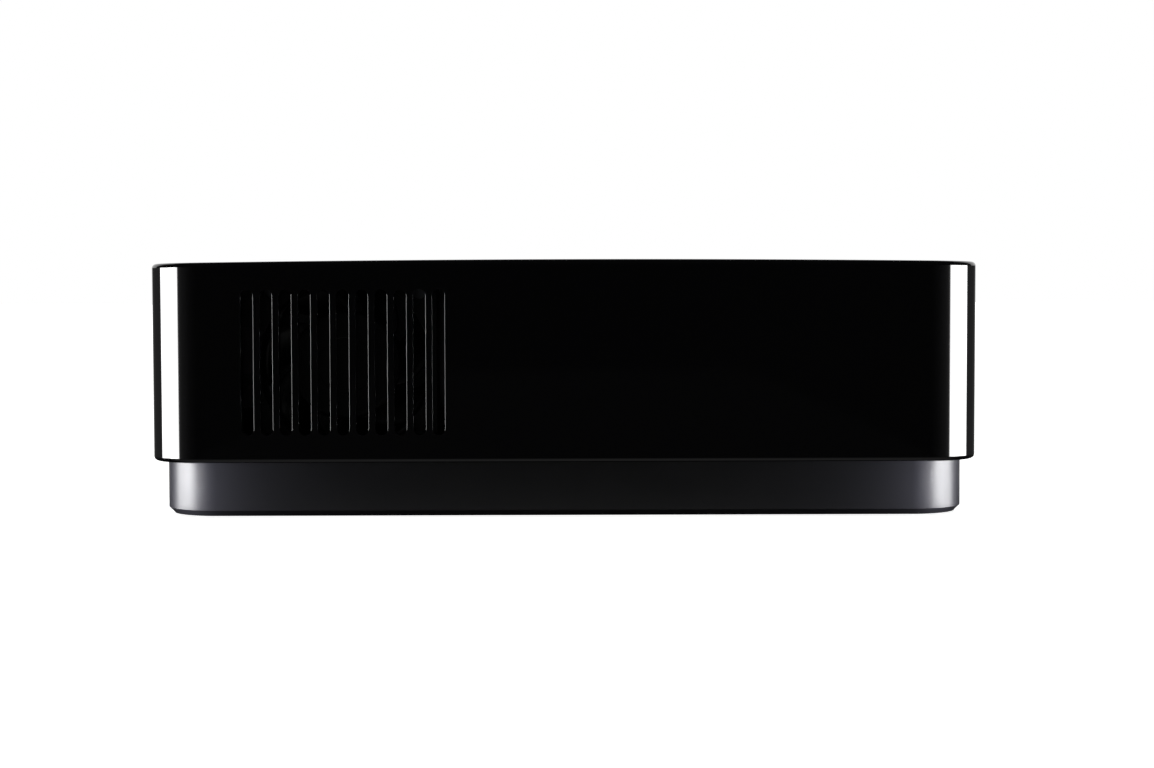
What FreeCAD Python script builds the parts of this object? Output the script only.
# Media player with a hard drive tray, as a parametric document.
# Frame: +Z up, +X out of the front (the tray end), -Y the vent side, origin on the surface
# that the player stands on, under the middle of the shell.
import FreeCAD, Part
import math
import os
import re
import Sketcher

doc = FreeCAD.newDocument("MediaPlayer")
sizes = doc.addObject("Spreadsheet::Sheet", "Sizes")
places = doc.addObject("Spreadsheet::Sheet", "Places")

# Driving dimensions, in millimetres (counts and degrees where the word says so).
# The casing is sized round the drive, its tray and cage, so its overall sizes are worked out below.
SIZES = {
    # casing
    "shell_wall": 2.6, "shell_roof": 2.0, "shell_crown": 0.7, "shell_corner": 12,
    "shell_top_round": 1.3, "shell_rim_round": 0.8, "rim_gap": 0.4, "lap_height": 4,
    "band_height": 11.9, "base_wall": 2.0, "base_floor": 2.0, "base_chamfer": 1.3,
    "foot_stand": 0.6, "foot_radius": 6, "foot_thick": 1.6, "foot_inset_x": 21, "foot_inset_y": 26,
    "roof_gap": 1.2,
    # side vents
    "vent_count": 11, "vent_pitch": 4.14, "vent_width": 2.7, "vent_height": 31.6,
    "vent_rear_inset": 22.5, "vent_above_rim": 6.0,
    # intake slots under the board
    "intake_count": 9, "intake_pitch": 6, "intake_width": 3, "intake_length": 46,
    # clearances, screws and bosses
    "slip": 0.3, "fine_slip": 0.15, "seat_gap": 0.05,
    "post_room": 4.5, "post_radius": 3.1, "boss_radius": 3.8, "boss_top": 15,
    "casing_screw_radius": 1.25, "casing_screw_length": 14, "casing_head_radius": 2.3,
    "casing_head_height": 1.6, "casing_head_level": 9, "screw_play": 0.15,
    "small_screw_radius": 1.0, "small_head_radius": 1.9, "small_head_height": 1.3,
    "small_screw_length": 5,
    # main board
    "board_edge_gap": 0.3, "board_front_room": 51, "board_fan_gap": 1.5, "board_side_gap": 3,
    "board_lift": 3.9, "board_thick": 1.6, "board_boss_radius": 3, "board_fix_inset": 4,
    "chip_size": 21, "chip_height": 1.4, "chip_front_space": 56, "chip_side_space": 36,
    "sink_size": 32, "sink_height": 10.5, "sink_foot": 2.4, "sink_fin": 1.2, "sink_fins": 8,
    "memory_long": 12.5, "memory_wide": 8, "memory_high": 1.1, "memory_space": 4, "memory_rows": 2,
    "flash_long": 18, "flash_wide": 12, "flash_space": 5, "magnetics_long": 12,
    "magnetics_wide": 10, "magnetics_high": 5.6, "can_count": 6, "can_pitch": 11, "can_tall": 9.5,
    "can_short": 7, "can_wide": 4, "can_narrow": 3.15, "can_space": 14, "coil_count": 3,
    "coil_pitch": 15, "coil_size": 10, "coil_high": 4.5, "coil_space": 22,
    # rear sockets
    "panel_thick": 1.0, "panel_setback": 7.4, "panel_side_gap": 0.7, "panel_overlap": 3,
    "panel_top_lap": 1.2, "notch_gap": 0.7, "socket_proud": 0.8, "socket_play": 0.25,
    "socket_space": 1.5, "tongue_setback": 1, "dc_side_gap": 0.5, "dc_width": 9, "dc_depth": 14,
    "dc_height": 11, "dc_bore": 3.1, "dc_back": 3, "dc_pin_radius": 1.05, "dc_pin_setback": 0.6,
    "lan_width": 16, "lan_depth": 21, "lan_height": 13.5, "lan_hole_width": 11.8,
    "lan_hole_height": 8, "lan_hole_depth": 14, "lan_hole_lift": 1.5,
    "usb_width": 14.4, "usb_depth": 17.5, "usb_port_height": 7.1, "usb_wall": 0.6,
    "usb_tongue_width": 11.1, "usb_tongue_thick": 1.9, "usb_tongue_setback": 1.6,
    "usb_back": 3, "usb_stack_gap": 1,
    "hdmi_space": 1.6, "hdmi_width": 15, "hdmi_depth": 11.5, "hdmi_height": 6.2, "hdmi_wall": 0.5,
    "hdmi_tongue_width": 12, "hdmi_tongue_thick": 1.1,
    "device_space": 1, "device_width": 12, "device_depth": 16, "device_height": 11,
    "device_wall": 1.2, "device_core_width": 5.6, "device_core_height": 3.2,
    "av_pitch": 13, "av_depth": 5, "av_height": 12.2, "av_barrel_radius": 4.15,
    "av_barrel_wall": 0.45, "av_collar_radius": 5.3, "av_collar_height": 1.2, "av_core_hole": 1.6,
    "av_core_back": 1, "barrel_tip_gap": 0.4,
    # fan
    "fan_size": 40, "fan_thick": 10, "fan_screw_inset": 4, "fan_rim": 1, "fan_tip_gap": 0.7,
    "fan_hub": 12, "fan_hub_wall": 1.2, "fan_blade_thick": 0.9, "fan_blade_angle": 38,
    "fan_blade_chord": 7.8, "fan_blade_root": 0.6, "fan_blade_shift": 0.5, "fan_blades": 7,
    "fan_shaft": 1.0, "fan_bearing_wall": 1.5, "fan_back": 1.5, "fan_strut_half": 1.2,
    "fan_shaft_cover": 0.6, "fan_play": 0.05, "fan_gap": 0.5,
    "fan_screw_radius": 1.6, "fan_screw_length": 7, "fan_head_radius": 2.9, "fan_head_height": 1.6,
    "fan_lead_radius": 0.8, "fan_lead_bend": 5, "fan_lead_drop": 0.9, "fan_lead_start": 2,
    "fan_header_long": 8, "fan_header_wide": 5, "fan_header_height": 6,
    "bracket_thick": 1.0, "bracket_foot_drop": 5.3, "bracket_air_lap": 0.5, "bracket_fix_span": 30,
    # drive and its bay
    "drive_length": 147, "drive_width": 101.6, "drive_height": 26.1,
    "cage_lift": 14.7, "cage_thick": 1.0, "cage_over": 0.8, "cage_floor_lead": 2,
    "flange_space": 2.8, "cage_ear": 9, "cage_ear_gap": 2, "cage_fix_inset": 25.6,
    "tray_wall": 1.6, "tray_floor": 1.6, "tray_side_height": 9, "tray_rear_gap": 11,
    "rail_thick": 1.2, "rail_reach": 1.4, "tray_face_gap": 2.0, "tray_face_drop": 2.8,
    "tray_window_length": 92, "tray_window_width": 70,
    "drive_screw_radius": 1.7, "drive_screw_head": 3.1, "drive_screw_grip": 4,
    "drive_screw_x": 41.3, "drive_screw_step": 44.45, "drive_screw_edge": 3.175,
    "plug_side": 8.1, "plug_width": 44, "plug_height": 8, "plug_recess": 7, "plug_base": 1.5,
    "plug_level": 3.2, "blade_thick": 1.2, "blade_reach": 4.6, "power_blade": 20.6,
    "data_blade": 10.4, "blade_space": 3.2, "nose_inset": 1.5, "nose_half": 3,
    "backplane_thick": 1.6, "backplane_gap": 5.8, "backplane_drop": 1.1, "backplane_side_gap": 3,
    "backplane_screw_drop": 5, "riser_width": 26, "riser_side_gap": 4.5, "riser_lift": 2.9,
    "riser_slot_height": 7.5, "riser_slot_wall": 2.4, "riser_space": 0.6,
    "bay_margin": 3, "arm_bay_setback": 23, "arm_bay_wall": 5.8, "casting_floor": 9.5,
    "casting_side_wall": 2.2, "casting_front_wall": 2.4, "cover_thick": 1.6,
    "platter_thick": 1.27, "platter_gap": 2.6, "platter_rise": 3.8, "platter_count": 2,
    "platter_play": 1.1, "spindle_radius": 12.5, "spindle_post": 4, "hub_rise": 0.8,
    "arm_setback": 58, "arm_offset": 26, "arm_length": 46, "arm_width": 4, "arm_thick": 1.0,
    "arm_hub": 6, "arm_post": 3, "arm_tail": 12, "arm_tail_width": 10,
    "drive_board_thick": 1.2, "drive_board_length": 96, "drive_board_margin": 7.8,
    "drive_board_recess": 3.2,
    # tray front
    "bezel_lap": 1, "bezel_drop": 0.5, "bezel_under": 0.6, "bezel_thick": 3, "bezel_gap": 0.4,
    "bezel_boss": 3.2, "bezel_fix_inset": 6, "handle_rim": 2, "pin_seat": 1.6,
    "handle_length": 60, "handle_height": 14, "handle_thick": 2.6, "handle_barrel": 3.8,
    "handle_pin": 1.0, "handle_play": 0.06, "handle_gap": 0.4, "handle_finger": 9,
    "handle_space": 2, "handle_back": 1,
    # front column beside the tray
    "column_wall": 0.65, "column_post_gap": 2, "column_setback": 13, "column_board_width": 16,
    "column_roof_gap": 0.1, "button_radius": 4.5, "button_rim": 0.8, "button_flange": 0.8,
    "button_travel": 0.8, "switch_size": 6.2, "switch_height": 3.4,
    "plunger_radius": 1.6, "plunger_height": 1.6, "light_span": 6, "light_radius": 1.0,
    "light_chip_half": 0.8, "light_chip_height": 1, "ir_width": 7, "ir_height": 4.2,
    "ir_flange_side": 0.8, "ir_flange_end": 0.6, "ir_flange_thick": 0.8, "ir_case_half": 2.6,
    "ir_case_half_height": 2, "ir_case_depth": 4.5,
    "cable_shift": 1.5, "cable_width": 5, "cable_thick": 0.4, "cable_bend": 5,
    "cable_plug_gap": 0.6, "cable_plug_height": 6, "cable_plug_depth": 4, "cable_plug_width": 6.5,
    "cable_exit": 1.5, "header_height": 3, "header_depth": 5,
}

# Places worked out from those sizes, each from the ones above it.
PLACES = {
    # levels, from the floor up
    "shell_low": "foot_stand + band_height", "base_top": "shell_low + lap_height",
    "floor_top": "foot_stand + base_floor", "board_level": "floor_top + board_lift",
    "board_top": "board_level + board_thick", "sink_low": "board_top + chip_height",
    "cage_level": "board_top + cage_lift", "cage_floor": "cage_level + cage_thick",
    "tray_low": "cage_floor + slip", "drive_low": "tray_low + tray_floor",
    "drive_top": "drive_low + drive_height", "cage_top": "drive_top + cage_over",
    "roof_under": "cage_top + roof_gap", "shell_edge": "roof_under + shell_roof",
    "shell_height": "shell_edge + shell_crown - shell_low",
    "vent_mid": "shell_low + vent_above_rim + vent_height / 2",
    "notch_top": "board_top + 2 * usb_port_height + usb_stack_gap + notch_gap",
    "panel_top": "notch_top + panel_top_lap", "riser_bottom": "board_top + riser_lift",
    "backplane_top": "cage_top - backplane_drop",
    "backplane_screw_level": "backplane_top - backplane_screw_drop",
    "tray_side_top": "tray_low + tray_side_height", "rail_low": "tray_side_top + slip",
    "tray_face_top": "drive_top - tray_face_drop",
    "plug_mid": "drive_low + plug_level + blade_thick / 2",
    "casting_deck": "drive_low + casting_floor", "casting_top": "drive_top - cover_thick",
    "bezel_bottom": "tray_low - bezel_drop", "bezel_top": "roof_under - bezel_under",
    "bezel_height": "bezel_top - bezel_bottom", "bezel_mid": "(bezel_top + bezel_bottom) / 2",
    "handle_low": "bezel_mid - handle_height / 2", "handle_high": "bezel_mid + handle_height / 2",
    "fan_z": "roof_under - slip - fan_size / 2",
    "bracket_foot_level": "fan_z - fan_size / 2 - bracket_foot_drop",
    "bracket_foot_top": "bracket_foot_level + bracket_thick",
    "fan_lead_level": "board_top + fan_header_height + fan_lead_bend + fan_lead_drop",
    "column_boss": "board_boss_radius - small_screw_radius + slip",
    "column_board_low": "base_top + slip", "column_board_high": "roof_under - rim_gap",
    "column_screw_low": "column_board_low + column_boss",
    "column_screw_high": "roof_under - column_roof_gap - column_boss",
    "cable_plug_level": "column_screw_low + small_head_radius + cable_plug_gap",
    "ir_half": "ir_height / 2 + ir_flange_end", "button_half": "button_radius + button_rim",
    "column_parts": "usb_port_height + 2 * (ir_half + light_radius + button_half + column_boss)",
    "column_space": "(column_screw_high - column_screw_low - column_parts) / 5",
    "front_usb_level": "column_screw_low + column_boss + column_space + usb_port_height / 2",
    "ir_level": "front_usb_level + usb_port_height / 2 + column_space + ir_half",
    "light_level": "ir_level + ir_half + column_space + light_radius",
    "button_level": "light_level + light_radius + column_space + button_half",
    # across, from the drive out to the sides
    "tray_inner": "drive_width / 2 + slip", "tray_outer": "tray_inner + tray_wall",
    "cage_inner": "tray_outer + slip", "cage_outer": "cage_inner + cage_thick",
    "plug_offset": "plug_side + (plug_width - drive_width) / 2",
    "cage_flange": "cage_inner + plug_offset - plug_width / 2 + nose_inset - flange_space",
    "post_inset": "shell_wall + rim_gap + base_wall + post_room",
    "column_gap": "bezel_lap + bezel_gap + column_wall + socket_play + usb_width / 2",
    "left_room": "column_gap + usb_width / 2 + column_post_gap + boss_radius + post_inset",
    "right_room": "cage_ear + cage_ear_gap + base_wall + rim_gap + shell_wall",
    "shell_depth": "2 * cage_outer + left_room + right_room", "side_y": "shell_depth / 2",
    "bay_y": "side_y - right_room - cage_outer", "inner_side": "side_y - shell_wall",
    "base_side": "inner_side - rim_gap", "base_inner_side": "base_side - base_wall",
    "post_y": "side_y - post_inset", "fix_left_y": "bay_y - cage_outer - cage_ear / 2",
    "fix_right_y": "bay_y + cage_outer + cage_ear / 2",
    "column_y": "bay_y - cage_outer - column_gap", "cable_y": "column_y - cable_shift",
    "bezel_width": "2 * (cage_outer + bezel_lap)",
    "tray_face_half": "cage_inner - rail_reach - 2 * slip",
    "bezel_fix_half": "tray_face_half - bezel_fix_inset",
    "handle_axis_y": "bay_y + handle_length / 2", "handle_tip": "bay_y - handle_length / 2",
    "panel_half_width": "post_y - boss_radius - panel_side_gap",
    "opening_half": "panel_half_width - panel_overlap",
    "dc_y": "opening_half - dc_side_gap - dc_width / 2",
    "lan_y": "dc_y - (dc_width + lan_width) / 2 - socket_space",
    "usb_y": "lan_y - (lan_width + usb_width) / 2 - socket_space",
    "hdmi_y": "usb_y - (usb_width + hdmi_width) / 2 - hdmi_space",
    "device_y": "hdmi_y - (hdmi_width + device_width) / 2 - device_space",
    "av_width": "3 * av_pitch", "av_y": "device_y - (device_width + av_width) / 2 - socket_space",
    "riser_right_y": "device_y - device_width / 2 - riser_side_gap",
    "riser_left_y": "riser_right_y - riser_width",
    "fan_front_y": "fan_gap - base_inner_side", "fan_back_y": "fan_front_y + fan_thick",
    "fan_mid_y": "fan_front_y + fan_thick / 2", "bracket_back_y": "fan_back_y + bracket_thick",
    "board_left_y": "bracket_back_y + board_fan_gap",
    "board_right_y": "base_inner_side - board_side_gap",
    "chip_y": "board_left_y + chip_side_space",
    "plug_y": "bay_y + plug_offset", "backplane_half": "cage_inner - backplane_side_gap",
    "platter_radius": "drive_width / 2 - casting_side_wall - platter_play",
    "arm_bay_half": "drive_width / 2 - arm_bay_wall", "arm_pivot_y": "bay_y + arm_offset",
    "drive_screw_span": "drive_width - 2 * drive_screw_edge",
    "drive_board_half": "drive_width / 2 - drive_board_margin",
    "fan_screw_span": "fan_size - 2 * fan_screw_inset", "fan_bore": "fan_size / 2 - fan_rim",
    "fan_blade_tip": "fan_bore - fan_tip_gap", "bracket_air_hole": "fan_bore - bracket_air_lap",
    # along, from the drive out to the ends
    "front_room": "tray_face_gap + tray_wall + bezel_gap + handle_back + handle_gap + 2 * handle_barrel",
    "riser_room": "backplane_gap + backplane_thick + riser_slot_wall + riser_space",
    "rear_room": "riser_room + av_depth + panel_setback - socket_proud",
    "shell_length": "drive_length + front_room + rear_room", "end_x": "shell_length / 2",
    "inner_end": "end_x - shell_wall", "base_end": "inner_end - rim_gap",
    "base_inner_end": "base_end - base_wall", "post_x": "end_x - post_inset",
    "base_corner": "shell_corner - shell_wall - rim_gap",
    "drive_front_x": "end_x - front_room", "drive_rear_x": "drive_front_x - drive_length",
    "tray_rear_x": "drive_rear_x + tray_rear_gap", "tray_face_x": "drive_front_x + tray_face_gap",
    "tray_face_front": "tray_face_x + tray_wall", "bezel_back": "end_x - bezel_thick",
    "cage_front_x": "bezel_back - bezel_gap", "cage_front_fix_x": "cage_front_x - cage_fix_inset",
    "cage_floor_rear_x": "tray_rear_x - cage_floor_lead", "board_fix_rear_x": "cage_floor_rear_x",
    "backplane_front": "drive_rear_x - backplane_gap",
    "backplane_x": "backplane_front - backplane_thick",
    "panel_face": "end_x - panel_setback", "socket_face": "panel_face + socket_proud",
    "panel_back": "panel_face - panel_thick", "board_rear_x": "board_edge_gap - panel_back",
    "board_front_x": "end_x - board_front_room", "board_fix_front_x": "board_front_x - board_fix_inset",
    "chip_x": "board_front_x - chip_front_space", "lan_front_x": "lan_depth - socket_face",
    "handle_axis_x": "end_x - handle_barrel",
    "platter_x": "drive_front_x - casting_front_wall - platter_play - platter_radius",
    "arm_bay_front_x": "platter_x - arm_bay_setback", "arm_pivot_x": "platter_x - arm_setback",
    "vent_first_x": "vent_rear_inset - end_x",
    "fan_x": "vent_first_x + (vent_count - 1) * vent_pitch / 2",
    "intake_first_x": "(1 - intake_count) * intake_pitch / 2",
    "column_board_x": "inner_end - column_setback",
    "column_board_front": "column_board_x + board_thick",
    "flange_front": "inner_end - slip", "button_back": "flange_front - button_flange",
    "switch_face": "column_board_front + switch_height",
}

# The sheet that holds each alias.
HOME = {name: "Sizes" for name in SIZES}
HOME.update({name: "Places" for name in PLACES})


def qualified(formula):
    """The formula with each alias in it written in full: its sheet, a dot and its name."""
    return re.sub(r"[a-z][a-z_]*[a-z]",
                  lambda word: HOME[word.group()] + "." + word.group() if word.group() in HOME
                  else word.group(), str(formula))


def fill_sheets():
    """Writes each driving dimension and each worked-out place in a row of its own."""
    for row, (name, number) in enumerate(SIZES.items(), 1):
        sizes.set(f"A{row}", name.replace("_", " "))
        sizes.set(f"B{row}", str(number))
        sizes.setAlias(f"B{row}", name)
    doc.recompute()
    for row, (name, formula) in enumerate(PLACES.items(), 1):
        places.set(f"A{row}", name.replace("_", " "))
        places.set(f"B{row}", "=" + qualified(formula).replace("Places.", ""))
        places.setAlias(f"B{row}", name)
    doc.recompute()


def bind(thing, prop, formula):
    thing.setExpression(prop, qualified(formula))


def value(formula):
    """The number that a formula gives now."""
    return float(sizes.evalExpression(qualified(formula)))


def count(name):
    return int(value(name))


fill_sheets()

# ---------------------------------------------------------------- solids by formula
TURNS = {"Z": FreeCAD.Rotation(), "X": FreeCAD.Rotation(FreeCAD.Vector(0, 1, 0), 90),
         "Y": FreeCAD.Rotation(FreeCAD.Vector(1, 0, 0), -90)}


def put(piece, place):
    """Binds where a piece stands to three formulas."""
    for axis, formula in zip("xyz", place):
        bind(piece, "Placement.Base." + axis, formula)
    return piece


def block(name, low, high):
    """A box between two corners, low and high, each three formulas."""
    piece = doc.addObject("Part::Box", name)
    for prop, start, end in zip(("Length", "Width", "Height"), low, high):
        bind(piece, prop, f"({end}) - ({start})")
    return put(piece, low)


def rod(name, axis, base, radius, length):
    """A cylinder that runs from its base along +X, +Y or +Z."""
    piece = doc.addObject("Part::Cylinder", name)
    bind(piece, "Radius", radius)
    bind(piece, "Height", length)
    piece.Placement = FreeCAD.Placement(FreeCAD.Vector(), TURNS[axis])
    return put(piece, base)


def cone(name, base, low_radius, high_radius, height):
    """An upright cone frustum."""
    piece = doc.addObject("Part::Cone", name)
    bind(piece, "Radius1", low_radius)
    bind(piece, "Radius2", high_radius)
    bind(piece, "Height", height)
    return put(piece, base)


def fused(name, pieces):
    whole = doc.addObject("Part::MultiFuse", name)
    whole.Shapes = pieces
    whole.Refine = True
    return whole


def less(name, base, tools):
    """A piece with the tools cut out of it."""
    whole = doc.addObject("Part::Cut", name)
    whole.Base = base
    whole.Tool = tools[0] if len(tools) == 1 else fused(name + "_tools", tools)
    whole.Refine = True
    return whole


def group(name, pieces):
    """Separate solids that share one node."""
    whole = doc.addObject("Part::Compound", name)
    whole.Links = pieces
    return whole


def screw(name, axis, head_base, shank_radius, shank_length, head_radius, head_height, sign=1):
    """A pan head with its shank beyond it, along +axis, or back along it with sign -1."""
    place = dict(zip("XYZ", head_base))
    start = dict(place)
    if sign > 0:
        start[axis] = f"({place[axis]}) + ({head_height})"
        head = rod(name + "_head", axis, [place[a] for a in "XYZ"], head_radius, head_height)
    else:
        start[axis] = f"({place[axis]}) - ({head_height}) - ({shank_length})"
        lower = dict(place)
        lower[axis] = f"({place[axis]}) - ({head_height})"
        head = rod(name + "_head", axis, [lower[a] for a in "XYZ"], head_radius, head_height)
    shank = rod(name + "_shank", axis, [start[a] for a in "XYZ"], shank_radius, shank_length)
    return fused(name, [head, shank])


# ---------------------------------------------------------------- bodies with sketches
def new_body(name):
    return doc.addObject("PartDesign::Body", name)


def sketch_on(body, name, role, across, up, level):
    """A sketch on one of the body's own planes, with its origin moved by three formulas."""
    sketch = body.newObject("Sketcher::SketchObject", name)
    plane = next(part for part in body.Origin.OriginFeatures if part.Role == role)
    sketch.AttachmentSupport = [(plane, "")]
    sketch.MapMode = "FlatFace"
    for axis, formula in zip("xyz", (across, up, level)):
        bind(sketch, "AttachmentOffset.Base." + axis, formula)
    return sketch


def constrain(sketch, formula, *constraint):
    """Adds a constraint that carries a size and binds the size to its formula."""
    number = sketch.addConstraint(Sketcher.Constraint(*constraint, value(formula)))
    bind(sketch, f"Constraints[{number}]", formula)


def draw_rectangle(sketch, width, height):
    """A rectangle about the sketch's origin."""
    half_w, half_h = value(width) / 2, value(height) / 2
    corners = [FreeCAD.Vector(x * half_w, y * half_h) for x, y in ((-1, -1), (1, -1), (1, 1), (-1, 1))]
    for index in range(4):
        sketch.addGeometry(Part.LineSegment(corners[index], corners[(index + 1) % 4]))
    for index in range(4):
        sketch.addConstraint(Sketcher.Constraint("Coincident", index, 2, (index + 1) % 4, 1))
        sketch.addConstraint(Sketcher.Constraint("Horizontal" if index % 2 == 0 else "Vertical", index))
    sketch.addConstraint(Sketcher.Constraint("Symmetric", 0, 1, 2, 1, -1, 1))
    constrain(sketch, width, "DistanceX", 0, 1, 0, 2)
    constrain(sketch, height, "DistanceY", 1, 1, 1, 2)


def draw_rounded(sketch, width, height, radius):
    """A rectangle with round corners about the sketch's origin."""
    w, h, r = value(width) / 2, value(height) / 2, value(radius)
    runs = [((-w + r, -h), (w - r, -h)), ((w, -h + r), (w, h - r)),
            ((w - r, h), (-w + r, h)), ((-w, h - r), (-w, -h + r))]
    centres = [(w - r, -h + r), (w - r, h - r), (-w + r, h - r), (-w + r, -h + r)]
    for start, end in runs:
        sketch.addGeometry(Part.LineSegment(FreeCAD.Vector(*start, 0), FreeCAD.Vector(*end, 0)))
    for index, centre in enumerate(centres):
        circle = Part.Circle(FreeCAD.Vector(*centre, 0), FreeCAD.Vector(0, 0, 1), r)
        first = -math.pi / 2 + index * math.pi / 2
        sketch.addGeometry(Part.ArcOfCircle(circle, first, first + math.pi / 2))
    for index in range(4):
        corner = 4 + index
        sketch.addConstraint(Sketcher.Constraint("Horizontal" if index % 2 == 0 else "Vertical", index))
        sketch.addConstraint(Sketcher.Constraint("Tangent", index, 2, corner, 1))
        sketch.addConstraint(Sketcher.Constraint("Tangent", corner, 2, (index + 1) % 4, 1))
        if index:
            sketch.addConstraint(Sketcher.Constraint("Equal", 4, corner))
    constrain(sketch, radius, "Radius", 4)
    sketch.addConstraint(Sketcher.Constraint("Symmetric", 4, 3, 6, 3, -1, 1))
    constrain(sketch, f"({width}) - 2 * ({radius})", "DistanceX", 0, 1, 0, 2)
    constrain(sketch, f"({height}) - 2 * ({radius})", "DistanceY", 1, 1, 1, 2)


def draw_circle(sketch, radius):
    """A circle about the sketch's origin."""
    sketch.addGeometry(Part.Circle(FreeCAD.Vector(), FreeCAD.Vector(0, 0, 1), value(radius)))
    sketch.addConstraint(Sketcher.Constraint("Coincident", 0, 3, -1, 1))
    constrain(sketch, radius, "Radius", 0)


def draw_upright_slot(sketch, width, height):
    """A slot with round ends about the sketch's origin, its length upright."""
    r, run = value(width) / 2, (value(height) - value(width)) / 2
    up = FreeCAD.Vector(0, 0, 1)
    top = Part.Circle(FreeCAD.Vector(0, run, 0), up, r)
    low = Part.Circle(FreeCAD.Vector(0, -run, 0), up, r)
    sketch.addGeometry(Part.ArcOfCircle(top, 0, math.pi))
    sketch.addGeometry(Part.LineSegment(FreeCAD.Vector(-r, run, 0), FreeCAD.Vector(-r, -run, 0)))
    sketch.addGeometry(Part.ArcOfCircle(low, math.pi, 2 * math.pi))
    sketch.addGeometry(Part.LineSegment(FreeCAD.Vector(r, -run, 0), FreeCAD.Vector(r, run, 0)))
    for index in range(4):
        sketch.addConstraint(Sketcher.Constraint("Tangent", index, 2, (index + 1) % 4, 1))
    sketch.addConstraint(Sketcher.Constraint("Vertical", 1))
    sketch.addConstraint(Sketcher.Constraint("Symmetric", 0, 3, 2, 3, -1, 1))
    constrain(sketch, f"({width}) / 2", "Radius", 0)
    constrain(sketch, f"({height}) - ({width})", "DistanceY", 2, 3, 0, 3)


def pad(body, sketch, length, backward=False):
    feature = body.newObject("PartDesign::Pad", sketch.Name + "_pad")
    feature.Profile = sketch
    bind(feature, "Length", length)
    feature.Reversed = backward
    return feature


def pocket(body, sketch, depth, backward=False):
    feature = body.newObject("PartDesign::Pocket", sketch.Name + "_cut")
    feature.Profile = sketch
    bind(feature, "Length", depth)
    feature.Reversed = backward
    return feature


def round_edges(body, name, base, radius, wanted, kind="Fillet"):
    """Rounds, or chamfers, the edges of a feature that the wanted test accepts."""
    doc.recompute()
    edges = [f"Edge{number}" for number, edge in enumerate(base.Shape.Edges, 1) if wanted(edge)]
    feature = body.newObject("PartDesign::" + kind, name)
    feature.Base = (base, edges)
    bind(feature, "Radius" if kind == "Fillet" else "Size", radius)
    return feature


def is_upright(edge):
    ends = edge.Vertexes
    return (edge.Curve.TypeId == "Part::GeomLine" and len(ends) == 2
            and abs(ends[0].Z - ends[1].Z) > 1e-6
            and math.hypot(ends[0].X - ends[1].X, ends[0].Y - ends[1].Y) < 1e-6)


SIDES = (1, -1)


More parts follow.
